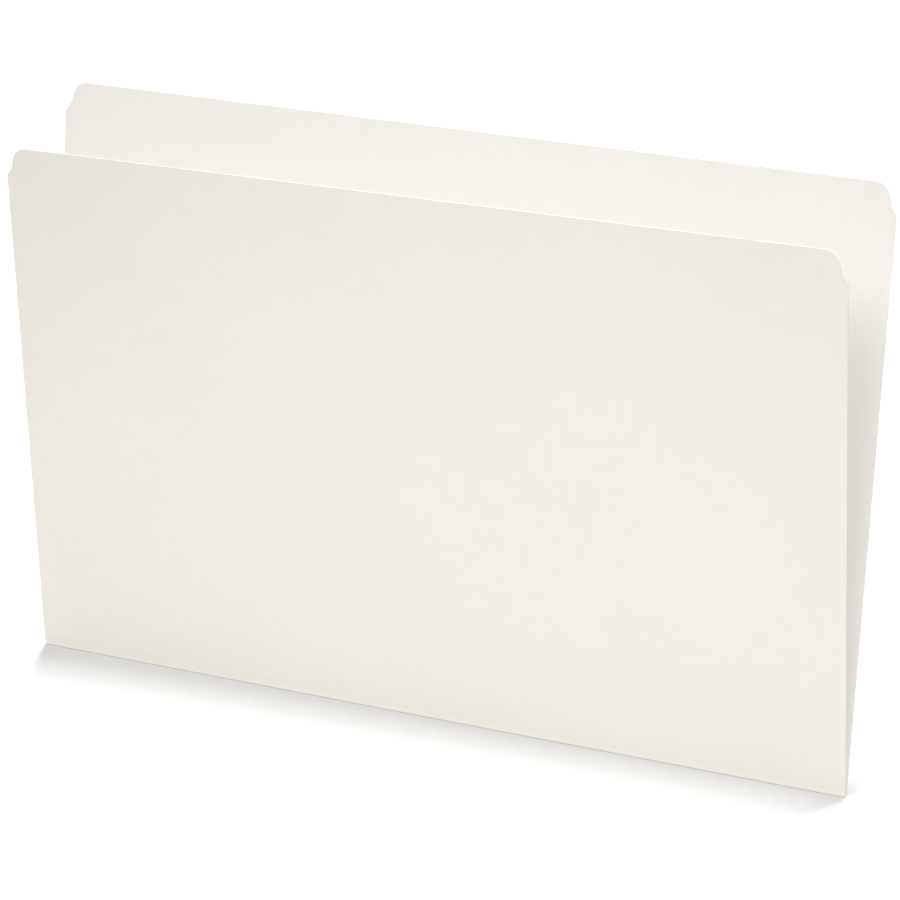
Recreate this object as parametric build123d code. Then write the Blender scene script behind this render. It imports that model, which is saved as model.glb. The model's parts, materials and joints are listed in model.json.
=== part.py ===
from build123d import *

import os
from collections import namedtuple
from math import atan2, cos, degrees, radians, sin

# A straight-cut legal-size manila folder: one scored and folded card, parted at its creases.
# Millimetres, +Z up. The folder stands on its bottom fold, which runs along X above the origin.
# The back leaf leans towards +Y and the front leaf towards -Y.

# Card
STOCK = 0.28  # 11 point card
WIDTH = 374.65  # 14 3/4 in along the fold
BACK_HEIGHT = 241.30  # 9 1/2 in, from the fold to the top of the back tab
FRONT_HEIGHT = 222.25  # 8 3/4 in, from the fold to the top of the front tab

# Full-width tabs: a round top corner, a sloping flank and an S-shaped shoulder at each side
TAB_HEIGHT = 12.0  # top edge down to the shoulder's foot
SHOULDER_RISE = 3.1  # height of the shoulder's slope
SHOULDER_INSET = 2.4  # how far the slope steps in from the side edge
FLANK_INSET = 2.2  # how much further the flank leans in on its way to the top
TAB_CORNER_R = 6.35
SHOULDER_INNER_R = 4.0
SHOULDER_FOOT_R = 2.5

# Bottom fold and expansion scores
REST_OPENING = 10.8  # degrees between the leaves as the folder stands
CLOSED_GAP = 0.40  # between the leaves' inner faces when the folder is shut
SCORE_COUNT = 3
SCORE_PITCH = 6.35  # 1/4 in from the fold to the first score, and from score to score
SCORE_BEAD_R = 0.20  # pressed bead of a score, flush with the card's outer face
SCORE_CLEARANCE = 0.03  # round a score's bead, so that the card can turn about it
FOLD_CLEARANCE = 0.30  # round the fold, wide enough for the card to bend a right angle past flat

# Worked out from the sizes above
INNER_FACE = CLOSED_GAP / 2  # from the fold axis out to a leaf's inner face
FOLD_R = INNER_FACE + STOCK  # outer radius of the fold, tangent to both outer faces
SCORE_DEPTH = FOLD_R - SCORE_BEAD_R  # from the fold axis out to a score's axis
BACK_REACH = BACK_HEIGHT - FOLD_R
FRONT_REACH = FRONT_HEIGHT - FOLD_R
OPENING = radians(REST_OPENING)
# The two leaves reach equally far from the fold, so that the origin lies midway between their top edges
BACK_LEAN = atan2(FRONT_REACH * sin(OPENING), BACK_REACH + FRONT_REACH * cos(OPENING))
FRONT_LEAN = OPENING - BACK_LEAN

# A crease: its bead's radius, the clearance round it, and its place up the card and out of the folder
Crease = namedtuple("Crease", "radius clearance up out")


def leaf_plane(lean, side):
    """Plane of a leaf on the fold axis: local Y runs up the card and local Z out of the folder."""
    outward = (0, side * cos(lean), -sin(lean))
    return Plane(origin=(0, 0, FOLD_R), x_dir=(-side, 0, 0), z_dir=outward)


def tab_outline(bottom, top):
    """Outline of a leaf from its bottom crease up to its tab's top edge."""
    side = WIDTH / 2
    foot = top - TAB_HEIGHT
    flank = side - SHOULDER_INSET
    right = [
        (side, bottom),
        (side, foot),
        (flank, foot + SHOULDER_RISE),
        (flank - FLANK_INSET, top),
    ]
    left = [(-x, y) for x, y in reversed(right)]
    radii = [SHOULDER_FOOT_R, SHOULDER_INNER_R, TAB_CORNER_R]
    edge = FilletPolyline(*right, *left, radius=radii + radii[::-1])
    return make_face([edge, Line(edge @ 1, edge @ 0)])


def strip_outline(bottom, top):
    """Outline of a plain strip of card between two creases."""
    return Pos(0, (bottom + top) / 2) * Rectangle(WIDTH, top - bottom)


def bead(crease, clearance=0):
    """Round bead of a crease along the whole width, or with a clearance the groove that it turns in."""
    return Pos(0, crease.up, crease.out) * Rot(0, 90, 0) * Cylinder(crease.radius + clearance, WIDTH)


def card(outline, creases):
    """Sheet of card with its edges hollowed round the beads of its creases."""
    sheet = Pos(0, 0, INNER_FACE) * extrude(outline, STOCK)
    for crease in creases:
        sheet -= bead(crease, crease.clearance)
    return sheet


def build():
    """Every piece of the folder by name, in place at rest."""
    fold = Crease(FOLD_R, FOLD_CLEARANCE, 0, 0)
    scores = [
        Crease(SCORE_BEAD_R, SCORE_CLEARANCE, SCORE_PITCH * (k + 1), SCORE_DEPTH) for k in range(SCORE_COUNT)
    ]
    back = leaf_plane(BACK_LEAN, 1).location
    front = leaf_plane(FRONT_LEAN, -1).location

    pieces = {
        "back_leaf": back * card(tab_outline(fold.up, BACK_REACH), [fold]),
        "bottom_fold": front * bead(fold),
    }
    lower = fold
    for number, score in enumerate(scores, start=1):
        outline = strip_outline(lower.up, score.up)
        pieces[f"expansion_strip_{number}"] = front * card(outline, [lower, score])
        pieces[f"score_crease_{number}"] = front * bead(score)
        lower = score
    pieces["front_leaf"] = front * card(tab_outline(lower.up, FRONT_REACH), [lower])
    return pieces


os.makedirs("parts", exist_ok=True)
for name, piece in build().items():
    export_step(piece, f"parts/{name}.step")
print(f"back leaf leans {degrees(BACK_LEAN):.3f} degrees, front leaf {degrees(FRONT_LEAN):.3f} degrees")
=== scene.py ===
# %% [markdown]
# # A manila folder
# A manila folder is one sheet of pale card. It is cut with a tab along each top edge, pressed with crease
# lines and folded in two. Its sizes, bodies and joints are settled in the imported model, which is loaded here
# as a fixed frame. This script gives the sheet its finished look: the bent card at the creases, the slight
# warp of thin leaves, paper grain, and then the light and the camera.

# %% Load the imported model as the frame
import json
from collections import namedtuple
from math import cos, pi, radians, sin, tan

import bpy
from mathutils import Matrix, Quaternion, Vector


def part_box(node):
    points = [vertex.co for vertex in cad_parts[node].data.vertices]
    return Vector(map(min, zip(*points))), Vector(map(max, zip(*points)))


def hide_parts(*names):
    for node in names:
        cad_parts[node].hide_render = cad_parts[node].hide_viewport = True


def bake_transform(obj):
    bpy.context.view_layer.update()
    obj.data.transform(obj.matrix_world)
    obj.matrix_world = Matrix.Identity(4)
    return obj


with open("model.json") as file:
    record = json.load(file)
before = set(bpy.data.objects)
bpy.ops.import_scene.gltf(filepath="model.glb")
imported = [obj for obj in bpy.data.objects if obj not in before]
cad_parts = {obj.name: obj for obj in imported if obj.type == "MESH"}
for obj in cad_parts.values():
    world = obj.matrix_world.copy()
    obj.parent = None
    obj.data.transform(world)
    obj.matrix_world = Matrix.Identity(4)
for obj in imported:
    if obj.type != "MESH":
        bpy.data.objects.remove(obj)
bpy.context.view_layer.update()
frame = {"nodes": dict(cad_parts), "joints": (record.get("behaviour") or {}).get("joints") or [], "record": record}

# %% [markdown]
# ## Sizes from the frame
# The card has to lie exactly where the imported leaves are, so the fold's axis, the way each leaf faces and its
# height are read from the frame and not typed again. Only the card's thickness and the small sizes of the tab
# are repeated, in millimetres.

# %% Find the fold axis and the two leaves
MM = 0.001
STOCK = 0.28 * MM
RIGHT = Vector((1, 0, 0))
DOWN = Vector((0, 0, -1))

joints = {joint["name"]: joint for joint in frame["joints"]}
mounts = {mount["name"]: mount for mount in frame["record"]["mounts"]}
FOLD_AXIS = Vector(joints["folder_opening"]["pos_m"])
LAST_SCORE = Vector(joints["score_bend"]["pos_m"])
OUTER = FOLD_AXIS.z  # the fold touches the floor, so its outer radius is the height of its axis
INNER = OUTER - STOCK
HALF_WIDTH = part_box("front_leaf")[1].x

# A leaf: the directions up the card and out of the folder, its reach from the fold, and which side it is on
Leaf = namedtuple("Leaf", "up out reach side")


def find_leaf(node, face, side):
    """Directions and reach of a leaf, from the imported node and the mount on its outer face."""
    out = Vector(mounts[face]["axis"]).normalized()
    up = RIGHT.cross(out) * side
    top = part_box(node)[1].z
    reach = (top - FOLD_AXIS.z - INNER * out.z) / up.z
    return Leaf(up, out, reach, side)


back = find_leaf("back_leaf", "back_face", 1)
front = find_leaf("front_leaf", "front_face", -1)
SCORE_3 = (LAST_SCORE - FOLD_AXIS).dot(front.up)
SCORES = [SCORE_3 * count / 3 for count in (1, 2, 3)]
print("reach of the back leaf %.2f mm, of the front leaf %.2f mm" % (back.reach / MM, front.reach / MM))
print("scores at", ["%.2f mm" % (score / MM) for score in SCORES])

# %% [markdown]
# ## The tab's edge
# Each leaf ends in a tab over its full width: a small S-shaped shoulder, a flank that leans in and a round
# corner. It could be cut from a bigger sheet with a boolean, but that leaves long thin triangles. Here the
# edge is a list of points, and every point becomes one row of the sheet, so the mesh stays an even grid.

# %% Trace the shoulder, the flank and the round corner
TAB_HEIGHT = 12.0 * MM
SHOULDER_RISE = 3.1 * MM
SHOULDER_INSET = 2.4 * MM
FLANK_INSET = 2.2 * MM
CORNER_RADII = (2.5 * MM, 4.0 * MM, 6.35 * MM)
ARC_STEPS = 8


def round_corner(before, corner, after, radius):
    """Points of the arc that rounds one corner of an outline."""
    towards = (before - corner).normalized()
    away = (after - corner).normalized()
    half = towards.angle(away) / 2
    centre = corner + (towards + away).normalized() * (radius / sin(half))
    first = corner + towards * (radius / tan(half)) - centre
    last = corner + away * (radius / tan(half)) - centre
    clockwise = first.angle_signed(last)
    turns = [Matrix.Rotation(-clockwise * step / ARC_STEPS, 2) for step in range(ARC_STEPS + 1)]
    return [centre + turn @ first for turn in turns]


def tab_edge(reach):
    """Right-hand edge of a tab, from shoulder to top, as pairs of distance up the card and half width."""
    foot = reach - TAB_HEIGHT
    flank = HALF_WIDTH - SHOULDER_INSET
    corners = [
        Vector((HALF_WIDTH, foot - TAB_HEIGHT)),
        Vector((HALF_WIDTH, foot)),
        Vector((flank, foot + SHOULDER_RISE)),
        Vector((flank - FLANK_INSET, reach)),
        Vector((0, reach)),
    ]
    edge = []
    for before, corner, after, radius in zip(corners, corners[1:], corners[2:], CORNER_RADII):
        edge += round_corner(before, corner, after, radius)
    return [(point.y, point.x) for point in edge]


print("tab edge of the front leaf has", len(tab_edge(front.reach)), "points")

# %% [markdown]
# ## Rows across the sheet
# A folded sheet is the same everywhere along its fold, so it can be built from rows that run across it. A row
# knows its place, the way the card faces there, and how far along the sheet it lies. Rows crowd together
# where the card bends or is pressed, and spread out over the flat leaves.

# %% Lay out the rows of the fold, the scored strips and the leaves
FOLD_STEPS = 8
FLAT_STEP = 6.0 * MM
FOLD_EASE = [0.2 * MM, 0.5 * MM, 0.9 * MM, 1.5 * MM, 2.4 * MM]
PRESS_HALF = 0.6 * MM
PRESS_STEPS = 4
MIDDLE_RADIUS = (OUTER + INNER) / 2  # of the card's middle layer, which keeps its length in the fold

# A row: a point on its line, the way the card faces, distance along the sheet and up the leaf, and half width
Row = namedtuple("Row", "base out along up half_width")


def bend_length(leaf):
    """Length of card round the fold, from its lowest line to where the leaf begins."""
    return DOWN.angle(leaf.out) * MIDDLE_RADIUS


def fold_rows(leaf):
    """Rows round the fold, from its lowest line to where the leaf begins."""
    swing = DOWN.rotation_difference(leaf.out)
    rows = []
    for step in range(FOLD_STEPS + 1):
        share = step / FOLD_STEPS
        out = Quaternion().slerp(swing, share) @ DOWN
        along = share * swing.angle * MIDDLE_RADIUS
        rows.append(Row(FOLD_AXIS, out, along, 0.0, HALF_WIDTH))
    return rows


def leaf_row(leaf, up, half_width):
    """A row on the flat of a leaf."""
    along = bend_length(leaf) + up
    return Row(FOLD_AXIS + leaf.up * up, leaf.out, along, up, half_width)


def even_steps(start, end, step):
    """Evenly spaced distances after start, up to and with end."""
    count = max(1, round((end - start) / step))
    return [start + (end - start) * (k + 1) / count for k in range(count)]


def press_steps(score):
    """Distances up the card across one pressed score."""
    return [score + PRESS_HALF * k / PRESS_STEPS for k in range(-PRESS_STEPS, PRESS_STEPS + 1)]


def leaf_rows(leaf, start):
    """Rows from a distance up the leaf to the top of its tab."""
    edge = tab_edge(leaf.reach)
    flat = even_steps(start, edge[0][0] - FLAT_STEP / 2, FLAT_STEP)
    return [leaf_row(leaf, up, HALF_WIDTH) for up in flat] + [leaf_row(leaf, *point) for point in edge]


SEAM = (SCORES[1] + SCORES[2]) / 2
back_rows = fold_rows(back) + [leaf_row(back, up, HALF_WIDTH) for up in FOLD_EASE]
back_rows += leaf_rows(back, FOLD_EASE[-1])
bottom_ups = FOLD_EASE + press_steps(SCORES[0]) + press_steps(SCORES[1]) + [SEAM]
bottom_rows = fold_rows(front) + [leaf_row(front, up, HALF_WIDTH) for up in bottom_ups]
front_rows = [leaf_row(front, up, HALF_WIDTH) for up in [SEAM] + press_steps(SCORES[2])]
front_rows += leaf_rows(front, SCORES[2] + PRESS_HALF)
print("rows: back", len(back_rows), "bottom", len(bottom_rows), "front", len(front_rows))

# %% [markdown]
# ## Warp and pressed lines
# Thin card is never quite flat. This folder is twisted a little about the upright, so that its left side
# leans towards the viewer. Both leaves take the same twist: they then still lie against each other when the
# folder is shut. They also stand a little further apart on the left, as card does that has been opened by that
# corner. A pressed score is a low ridge on the inside with hardly any mark on the outside. A modifier could
# bend the finished mesh. Here each point is moved as it is made, by a distance that grows from nothing at the
# fold, so the fold itself stays straight.

# %% Say how far the card departs from a flat leaf
TWIST = radians(1.246)
SPREAD = radians(0.29)
RIDGE = 0.12 * MM
GROOVE = 0.008 * MM


def warp(leaf, x, up):
    """Distance by which the card stands outside its flat leaf, at a place across and up the leaf."""
    across = x / HALF_WIDTH
    return up * (leaf.side * tan(TWIST * across) + tan(SPREAD * (1 - across) / 2))


def pressed(row):
    """How far a row lies in a pressed score, from 0 beside it to 1 on its line."""
    nearest = min(abs(row.up - score) for score in SCORES)
    return (1 + cos(pi * min(nearest / PRESS_HALF, 1))) / 2


for x in (-HALF_WIDTH, HALF_WIDTH):
    print("the back leaf's top at x %.0f mm moves out by %.1f mm" % (x / MM, warp(back, x, back.reach) / MM))

# %% [markdown]
# ## The sheet as a closed mesh
# A solidify modifier could thicken a single surface, but the card's cut edge then has no finish of its own.
# Here both faces and the cut edge are made together, so each gets its material, and every point carries its
# place on the flat sheet. Paper grain is drawn from that place, so it runs on across the creases.

# %% Build a sheet of card from rows
COLUMNS = 61
OUTSIDE, INSIDE, CUT_EDGE = 0, 1, 2
INSIDE_OFFSET = 0.5  # moves the grain on, so that the two faces don't show the same fibres
SHARP_ANGLE = radians(50)


def card_points(rows, leaf):
    """Points of both faces of the card and their places on the flat sheet."""
    points, places = [], []
    for row in rows:
        press = pressed(row) if leaf is front else 0.0
        for radius, face in ((OUTER - GROOVE * press, 0.0), (INNER - RIDGE * press, INSIDE_OFFSET)):
            for column in range(COLUMNS):
                x = row.half_width * (2 * column / (COLUMNS - 1) - 1)
                depth = radius + warp(leaf, x, row.up)
                points.append(row.base + row.out * depth + RIGHT * x)
                places.append((x, -leaf.side * row.along, face))
    return points, places


def card_faces(count):
    """Quads of the outside, the inside and the cut edge, each with its material."""
    def at(row, face, column):
        return (row * 2 + face) * COLUMNS + column

    faces = []
    for row in range(count - 1):
        for column in range(COLUMNS - 1):
            for face, material in ((0, OUTSIDE), (1, INSIDE)):
                quad = [at(row, face, column), at(row, face, column + 1)]
                quad += [at(row + 1, face, column + 1), at(row + 1, face, column)]
                faces.append((quad if face == 0 else quad[::-1], material))
        for column in (0, COLUMNS - 1):
            quad = [at(row, 0, column), at(row + 1, 0, column), at(row + 1, 1, column), at(row, 1, column)]
            faces.append((quad if column == 0 else quad[::-1], CUT_EDGE))
    for row in (0, count - 1):
        for column in range(COLUMNS - 1):
            quad = [at(row, 0, column), at(row, 1, column), at(row, 1, column + 1), at(row, 0, column + 1)]
            faces.append((quad if row == 0 else quad[::-1], CUT_EDGE))
    return faces


def card_sheet(name, rows, leaf):
    """One piece of the card as a closed mesh object, in the frame's own place."""
    points, places = card_points(rows, leaf)
    faces = card_faces(len(rows))
    if leaf.side == 1:
        faces = [(quad[::-1], material) for quad, material in faces]
    mesh = bpy.data.meshes.new(name)
    mesh.from_pydata(points, [], [quad for quad, _ in faces])
    for polygon, (_, material) in zip(mesh.polygons, faces):
        polygon.material_index = material
        polygon.use_smooth = True
    place = mesh.attributes.new("sheet", "FLOAT_VECTOR", "POINT")
    place.data.foreach_set("vector", [number for spot in places for number in spot])
    mesh.set_sharp_from_angle(angle=SHARP_ANGLE)
    mesh.validate()
    piece = bpy.data.objects.new(name, mesh)
    bpy.context.scene.collection.objects.link(piece)
    return piece


back_card = card_sheet("back_leaf_card", back_rows, back)
bottom_card = card_sheet("bottom_card", bottom_rows, front)
front_card = card_sheet("front_leaf_card", front_rows, front)
cards = [back_card, bottom_card, front_card]
for piece in cards:
    print(piece.name, len(piece.data.polygons), "faces")

# %% [markdown]
# ## Paper effects as node groups
# Outside, inside and cut edge are the same stock, so they share their effects: fibre grain, the soft clouds
# of the pulp, and the mark of a crease. Each effect is a group that puts out only values and colours. The
# shader stays in each material, because the model's export reads it there.
# Along the fold, the crease's pale mark is also painted light.

# %% Helpers for node trees
def add(tree, kind, inputs=(), **settings):
    """A new node with its settings, whose inputs take values or links."""
    node = tree.nodes.new(kind)
    for key, value in settings.items():
        setattr(node, key, value)
    for socket, value in dict(inputs).items():
        if isinstance(value, bpy.types.NodeSocket):
            tree.links.new(value, node.inputs[socket])
        else:
            node.inputs[socket].default_value = value
    return node


def calculate(tree, operation, first, second, clamp=False):
    """A math node's result."""
    return add(tree, "ShaderNodeMath", {0: first, 1: second}, operation=operation, use_clamp=clamp).outputs[0]


def noise(tree, place, per_metre, detail):
    """A noise texture's value at a place."""
    inputs = {"Vector": place, "Scale": per_metre, "Detail": detail}
    return add(tree, "ShaderNodeTexNoise", inputs).outputs["Fac"]


def new_group(name, inputs, outputs):
    """An empty shader group with named sockets, and its input and output nodes."""
    group = bpy.data.node_groups.new(name, "ShaderNodeTree")
    for in_out, sockets in (("INPUT", inputs), ("OUTPUT", outputs)):
        for socket, kind in sockets.items():
            group.interface.new_socket(socket, in_out=in_out, socket_type="NodeSocket" + kind)
    return group, group.nodes.new("NodeGroupInput"), group.nodes.new("NodeGroupOutput")


# %% [markdown]
# ### Fibre grain
# Paper is a felt of short fibres. In this card they lie mostly along the fold, over a finer tooth. A scanned
# picture could show them, but it repeats and is only as sharp as the scan. Noise that is stretched along the
# fold stays sharp from close by, and it is set in steps per metre of real card.

# %% Make the fibre grain
FIBRE_PER_M = (650, 1900, 1900)
FIBRE_DETAIL = 3
FIBRE_SHARE = 0.65
TOOTH_PER_M = 3600
TOOTH_DETAIL = 2
TOOTH_SHARE = 0.35


def fibre_group():
    """Grain of paper from a place on the flat sheet: fibre, and height for bump."""
    outputs = {"Fibre": "Float", "Height": "Float"}
    group, given, result = new_group("paper_fibre", {"Place": "Vector"}, outputs)
    place = given.outputs["Place"]
    stretch = {0: place, 1: FIBRE_PER_M}
    stretched = add(group, "ShaderNodeVectorMath", stretch, operation="MULTIPLY").outputs[0]
    fibre = noise(group, stretched, 1, FIBRE_DETAIL)
    tooth = noise(group, place, TOOTH_PER_M, TOOTH_DETAIL)
    coarse = calculate(group, "MULTIPLY", fibre, FIBRE_SHARE)
    fine = calculate(group, "MULTIPLY", tooth, TOOTH_SHARE)
    group.links.new(fibre, result.inputs["Fibre"])
    group.links.new(calculate(group, "ADD", coarse, fine), result.inputs["Height"])
    return group


FIBRE = fibre_group()
print("group", FIBRE.name, "has", len(FIBRE.nodes), "nodes")

# %% [markdown]
# ### Pulp clouds
# Thin card shows soft clouds where the pulp settled more or less thickly. They could be painted by hand over
# the whole sheet. Two sizes of noise do the same with less work: they change the base colour by a few percent,
# and the fibres add their own faint streaks.

# %% Make the pulp's tone
CLOUD_PER_M = 16
CLOUD_DETAIL = 2
PULP_PER_M = 140
PULP_DETAIL = 3
NOISE_MIDDLE = 0.5


def tone_group():
    """Colour of the card with pulp clouds and fibre, each by its own strength."""
    strengths = {"Cloud Strength": "Float", "Fibre Strength": "Float"}
    inputs = {"Base": "Color", "Place": "Vector", "Fibre": "Float", **strengths}
    group, given, result = new_group("pulp_tone", inputs, {"Color": "Color"})
    cloud = noise(group, given.outputs["Place"], CLOUD_PER_M, CLOUD_DETAIL)
    pulp = noise(group, given.outputs["Place"], PULP_PER_M, PULP_DETAIL)
    both = calculate(group, "ADD", cloud, pulp)
    uneven_pulp = calculate(group, "SUBTRACT", both, 2 * NOISE_MIDDLE)
    clouds = calculate(group, "MULTIPLY", uneven_pulp, given.outputs["Cloud Strength"])
    uneven_fibre = calculate(group, "SUBTRACT", given.outputs["Fibre"], NOISE_MIDDLE)
    fibres = calculate(group, "MULTIPLY", uneven_fibre, given.outputs["Fibre Strength"])
    value = calculate(group, "ADD", calculate(group, "ADD", clouds, fibres), 1.0)
    tone = add(group, "ShaderNodeHueSaturation", {"Color": given.outputs["Base"], "Value": value})
    group.links.new(tone.outputs["Color"], result.inputs["Color"])
    return group


TONE = tone_group()
print("group", TONE.name, "has", len(TONE.nodes), "nodes")

# %% [markdown]
# ### Crease marks and painted light at the fold
# Card that is bent or pressed breaks its smooth skin along the line and looks paler there. Along the fold the
# pale band is wider and stronger. There it is painted light, which lifts the shade on the fold's underside and
# at the foot of the leaves. The mark could be painted on, but every crease lies at a known distance along the
# flat sheet. So the mask is worked out from the distance to each of them, and it stays on the crease if a size
# changes.

# %% Make the mask of the creases and of the painted light along the fold
# half width of the fold's pale band, which is partly crease and partly painted light over the shade there
FOLD_MARK_AND_PAINTED_LIGHT = 2.4 * MM
SCORE_MARK = 0.5 * MM
SCORE_STRENGTH = 0.08


def crease_and_painted_light_group():
    """Mask of the pale scores and of the painted light along the fold, from a place on the flat sheet."""
    group, given, result = new_group("crease_and_painted_light_mark", {"Place": "Vector"}, {"Mask": "Float"})
    along = add(group, "ShaderNodeSeparateXYZ", {0: given.outputs["Place"]}).outputs["Y"]
    bend = bend_length(front)
    mask = None
    # the fold's mark, at full strength, is partly painted light; the scores are plain crease marks
    crease_and_painted_light_marks = [(0.0, FOLD_MARK_AND_PAINTED_LIGHT, 1.0)] + [(score + bend, SCORE_MARK, SCORE_STRENGTH) for score in SCORES]
    for place, half, strength in crease_and_painted_light_marks:
        distance = calculate(group, "ABSOLUTE", calculate(group, "SUBTRACT", along, place), 0.0)
        line = calculate(group, "SUBTRACT", 1.0, calculate(group, "DIVIDE", distance, half), clamp=True)
        line = calculate(group, "MULTIPLY", line, strength)
        mask = line if mask is None else calculate(group, "MAXIMUM", mask, line)
    group.links.new(mask, result.inputs["Mask"])
    return group


CREASE_AND_PAINTED_LIGHT = crease_and_painted_light_group()
print("group", CREASE_AND_PAINTED_LIGHT.name, "has", len(CREASE_AND_PAINTED_LIGHT.nodes), "nodes")

# %% [markdown]
# ## The card's three finishes
# The outside is a very pale ivory with a smooth, matt skin. The inside is the same stock, given a little
# whiter colour as painted light, for the bright, near-white light on the inside. The cut edge shows open
# fibre, so it is rougher and paler than the skin. One material for the whole sheet would be simpler, but it
# would hide both differences. So one function makes three materials from the same effects, with only their
# values changed.

# %% Make the card materials
Finish = namedtuple("Finish", "base roughness cloud fibre bump")
FINISHES = {
    "ivory_outside": Finish((0.855, 0.822, 0.753, 1), 0.62, 0.035, 0.030, 0.35),
    # the inside's whiter colour is painted light, for the bright, near-white light on the inside
    "ivory_inside": Finish((0.828, 0.805, 0.767, 1), 0.64, 0.030, 0.030, 0.35),
    "ivory_cut_edge": Finish((0.900, 0.880, 0.825, 1), 0.85, 0.050, 0.120, 0.80),
}
GRAIN_DEPTH = 0.012 * MM
# pale tone of the creases; along the fold it is also painted light that lifts the shade there
CREASE_AND_PAINTED_LIGHT_TONE = (0.950, 0.925, 0.850, 1)
CREASE_AND_PAINTED_LIGHT_SHARE = 0.8
ROUGHNESS_SPREAD = 0.16
SPECULAR_LEVEL = 0.25


def card_material(name, finish):
    """Procedural card: toned by pulp, fibre, creases and painted light at the fold, with grain in its roughness
    and bump.
    """
    material = bpy.data.materials.new(name)
    material.use_nodes = True
    tree = material.node_tree
    place = add(tree, "ShaderNodeAttribute", attribute_name="sheet").outputs["Vector"]
    fibre = add(tree, "ShaderNodeGroup", {"Place": place}, node_tree=FIBRE).outputs
    crease_and_painted_light = add(tree, "ShaderNodeGroup", {"Place": place}, node_tree=CREASE_AND_PAINTED_LIGHT).outputs
    pulp = {"Base": finish.base, "Place": place, "Fibre": fibre["Fibre"]}
    strengths = {"Cloud Strength": finish.cloud, "Fibre Strength": finish.fibre}
    tone = add(tree, "ShaderNodeGroup", {**pulp, **strengths}, node_tree=TONE).outputs["Color"]
    # how far the creases pale the card; along the fold this is painted light over the shade
    share = calculate(tree, "MULTIPLY", crease_and_painted_light["Mask"], CREASE_AND_PAINTED_LIGHT_SHARE)
    crease_and_painted_light_mix = {"Factor": share, "A": tone, "B": CREASE_AND_PAINTED_LIGHT_TONE}
    colour = add(tree, "ShaderNodeMix", crease_and_painted_light_mix, data_type="RGBA").outputs["Result"]
    spread = calculate(tree, "MULTIPLY", fibre["Fibre"], ROUGHNESS_SPREAD)
    roughness = calculate(tree, "ADD", spread, finish.roughness)
    grain = {"Strength": finish.bump, "Distance": GRAIN_DEPTH, "Height": fibre["Height"]}
    normal = add(tree, "ShaderNodeBump", grain).outputs["Normal"]
    shader = tree.nodes["Principled BSDF"].inputs
    shader["Specular IOR Level"].default_value = SPECULAR_LEVEL
    for socket, value in (("Base Color", colour), ("Roughness", roughness), ("Normal", normal)):
        tree.links.new(value, shader[socket])
    return material


materials = [card_material(name, finish) for name, finish in FINISHES.items()]
for piece in cards:
    for material in materials:
        piece.data.materials.append(material)
print("materials:", [material.name for material in materials])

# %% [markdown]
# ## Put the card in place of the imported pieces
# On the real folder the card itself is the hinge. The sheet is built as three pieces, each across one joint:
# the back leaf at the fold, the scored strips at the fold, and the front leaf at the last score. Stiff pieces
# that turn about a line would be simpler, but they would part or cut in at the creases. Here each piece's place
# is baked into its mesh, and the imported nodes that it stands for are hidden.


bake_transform(back_card)
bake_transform(bottom_card)
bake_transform(front_card)

strips = [name for name in frame["nodes"] if name.startswith(("expansion_strip", "score_crease"))]
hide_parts("back_leaf")
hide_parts("bottom_fold", *strips)
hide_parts("front_leaf")
print("bottom card stands for", len(strips) + 1, "nodes")

# %% [markdown]
# ## Floor and surroundings
# The folder stands on plain white and keeps its shadow there. A white floor would also throw so much light
# back up that the card loses its shading. So the floor is white only to the camera and in reflections, and a
# darker grey for the light that it throws back. The surroundings are white in the same way and add a soft
# fill.

# %% Make the white floor and the surroundings
FLOOR_HALF = 30.0
FLOOR_SEEN = (0.740, 0.740, 0.742, 1)
FLOOR_BOUNCE = (0.29, 0.29, 0.29, 1)
AMBIENT = 0.35
WHITE = (1, 1, 1, 1)


def seen_directly(tree):
    """1 for rays from the camera, a reflection or through glass, and 0 for the rest."""
    rays = add(tree, "ShaderNodeLightPath")
    seen = calculate(tree, "MAXIMUM", rays.outputs["Is Camera Ray"], rays.outputs["Is Glossy Ray"])
    return calculate(tree, "MAXIMUM", seen, rays.outputs["Is Transmission Ray"])


def floor_material():
    """Matt white to the camera, and a darker grey for the light that it throws back on the card."""
    material = bpy.data.materials.new("white_floor")
    material.use_nodes = True
    tree = material.node_tree
    tree.nodes.remove(tree.nodes["Principled BSDF"])
    shades = {"Factor": seen_directly(tree), "A": FLOOR_BOUNCE, "B": FLOOR_SEEN}
    colour = add(tree, "ShaderNodeMix", shades, data_type="RGBA")
    matt = add(tree, "ShaderNodeBsdfDiffuse", {"Color": colour.outputs["Result"]})
    tree.links.new(matt.outputs[0], tree.nodes["Material Output"].inputs["Surface"])
    return material


floor_mesh = bpy.data.meshes.new("floor")
corners = [(x * FLOOR_HALF, y * FLOOR_HALF, 0) for x, y in ((-1, -1), (1, -1), (1, 1), (-1, 1))]
floor_mesh.from_pydata(corners, [], [(0, 1, 2, 3)])
floor_mesh.materials.append(floor_material())
floor = bpy.data.objects.new("floor", floor_mesh)
bpy.context.scene.collection.objects.link(floor)

world = bpy.data.worlds.new("white_studio")
bpy.context.scene.world = world
world.use_nodes = True
sky = world.node_tree
level = add(sky, "ShaderNodeMapRange", {"Value": seen_directly(sky), "To Min": AMBIENT, "To Max": 1.0})
sky.links.new(level.outputs["Result"], sky.nodes["Background"].inputs["Strength"])
sky.nodes["Background"].inputs["Color"].default_value = WHITE
print("floor at height", floor.location.z)

# %% [markdown]
# ## Light
# Light from overhead only grazes upright leaves. It leaves a thin grey shadow in front of the fold, where the
# front leaf overhangs the floor. One wide lamp would spill that shadow past the folder's ends, so a row of
# narrow suns is used, from just in front of the upright to a little behind it. The row runs straight away from
# the camera, so in the picture the shadow lies straight below the fold. It is kept weak, because card that
# lies level would turn plain white under a stronger one. A wide light from the left looks over the front
# leaf's edge into the folder, so the inside fades from light at the top to shade below. A narrower one comes
# from the camera's side. Two more stand behind, for the back leaf and for the floor under it.

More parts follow.
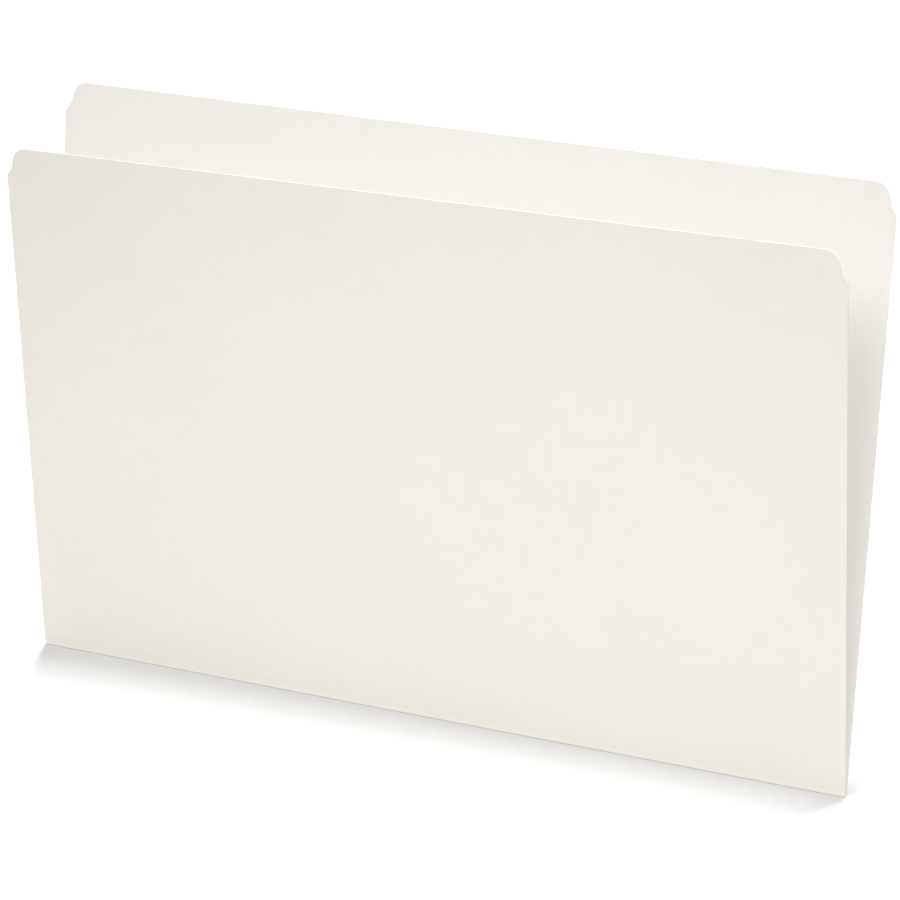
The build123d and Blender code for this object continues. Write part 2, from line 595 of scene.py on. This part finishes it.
# %% Place the suns
# A sun: degrees round the folder from straight in front, above the floor and across, and its strength
Sun = namedtuple("Sun", "azimuth elevation angle strength")
SUNS = {
    "front_light": Sun(29, 17, 5, 0.55),
    "left_light": Sun(-5, 39, 34, 1.08),
    "back_light": Sun(176, 20, 16, 1.2),
    "high_back_light": Sun(180, 60, 20, 1.0),
}
# The row overhead: how many degrees each sun leans to the left of the upright, and in front of it
OVERHEAD_LEANS = [(0.8, 3.6), (2.1, 1.2), (3.4, -1.2), (4.7, -3.6), (6.0, -6.0)]
OVERHEAD_ANGLE = 3.0
OVERHEAD_STRENGTH = 0.45
SUN_PLACE = (0, 0, 1)  # a sun shines alike from anywhere, so its place only keeps it clear of the folder


def direction(azimuth, elevation):
    """Unit vector towards a place round the folder: azimuth 0 is straight in front of it."""
    flat = cos(radians(elevation))
    sideways, forwards = sin(radians(azimuth)) * flat, -cos(radians(azimuth)) * flat
    return Vector((sideways, forwards, sin(radians(elevation))))


def add_light(data, place, towards):
    """A light object at a place, shining against the given direction."""
    light = bpy.data.objects.new(data.name, data)
    light.location = place
    light.rotation_mode = "QUATERNION"
    light.rotation_quaternion = towards.to_track_quat("Z", "Y")
    bpy.context.scene.collection.objects.link(light)


def add_sun(name, towards, angle, strength):
    """A sun that shines from the given direction."""
    data = bpy.data.lights.new(name, "SUN")
    data.energy = strength
    data.angle = radians(angle)
    add_light(data, SUN_PLACE, towards)


for name, sun in SUNS.items():
    add_sun(name, direction(sun.azimuth, sun.elevation), sun.angle, sun.strength)
for count, (left, forward) in enumerate(OVERHEAD_LEANS, start=1):
    towards = Vector((-tan(radians(left)), -tan(radians(forward)), 1)).normalized()
    add_sun("overhead_%d" % count, towards, OVERHEAD_ANGLE, OVERHEAD_STRENGTH)
print("suns:", list(SUNS), "and", len(OVERHEAD_LEANS), "overhead")

# %% [markdown]
# ### A soft spot
# A studio lamp is never even over its whole beam. A sun lights a flat leaf evenly, and shading painted on the
# card would stay there when it moves. So a spot beside the camera, aimed just below the fold and with an edge
# as soft as it gets, makes the front leaf brightest low in the middle and a little dimmer towards its sides.

# %% Aim the soft spot below the middle of the fold
SPOT_AIM = Vector((-5, -5, -55)) * MM
SPOT_DISTANCE = 3.0
SPOT_AZIMUTH = 29
SPOT_ELEVATION = 20
SPOT_CONE = 16.5
SPOT_POWER = 110
SPOT_RADIUS = 0.15

spot = bpy.data.lights.new("soft_spot", "SPOT")
spot.energy = SPOT_POWER
spot.spot_size = radians(SPOT_CONE)
spot.spot_blend = 1.0
spot.shadow_soft_size = SPOT_RADIUS
towards_spot = direction(SPOT_AZIMUTH, SPOT_ELEVATION)
add_light(spot, SPOT_AIM + towards_spot * SPOT_DISTANCE, towards_spot)
print("spot is %.1f m away" % SPOT_DISTANCE)

# %% [markdown]
# ## Camera
# The camera stands in front and to the right, a little above the folder. Its place and lens were worked out
# from where the edges of the two leaves lie in the picture, which is a square of 900 by 900 pixels. The
# Standard view shows colours as they are lit; other views would grey the white ground.

# %% Set up the camera
CAMERA_PLACE = Vector((944.5, -1683.5, 637.6)) * MM
CAMERA_AZIMUTH = 29.09
CAMERA_ELEVATION = 15.2
CAMERA_ROLL = 0.963
LENS = 199.02
SENSOR_WIDTH = 36
FARTHEST_SEEN = 100

camera_data = bpy.data.cameras.new("camera")
camera_data.sensor_width = SENSOR_WIDTH
camera_data.lens = LENS
camera_data.clip_end = FARTHEST_SEEN
camera = bpy.data.objects.new("camera", camera_data)
towards_camera = direction(CAMERA_AZIMUTH, CAMERA_ELEVATION)
level_right = (-DOWN).cross(towards_camera).normalized()
level_up = towards_camera.cross(level_right)
roll = Matrix.Rotation(radians(CAMERA_ROLL), 3, towards_camera)
turned = Matrix((roll @ level_right, roll @ level_up, towards_camera)).transposed()
camera.matrix_world = Matrix.Translation(CAMERA_PLACE) @ turned.to_4x4()
bpy.context.scene.collection.objects.link(camera)
bpy.context.scene.camera = camera
bpy.context.scene.view_settings.view_transform = "Standard"
print("camera is %.2f m from the fold" % CAMERA_PLACE.length)
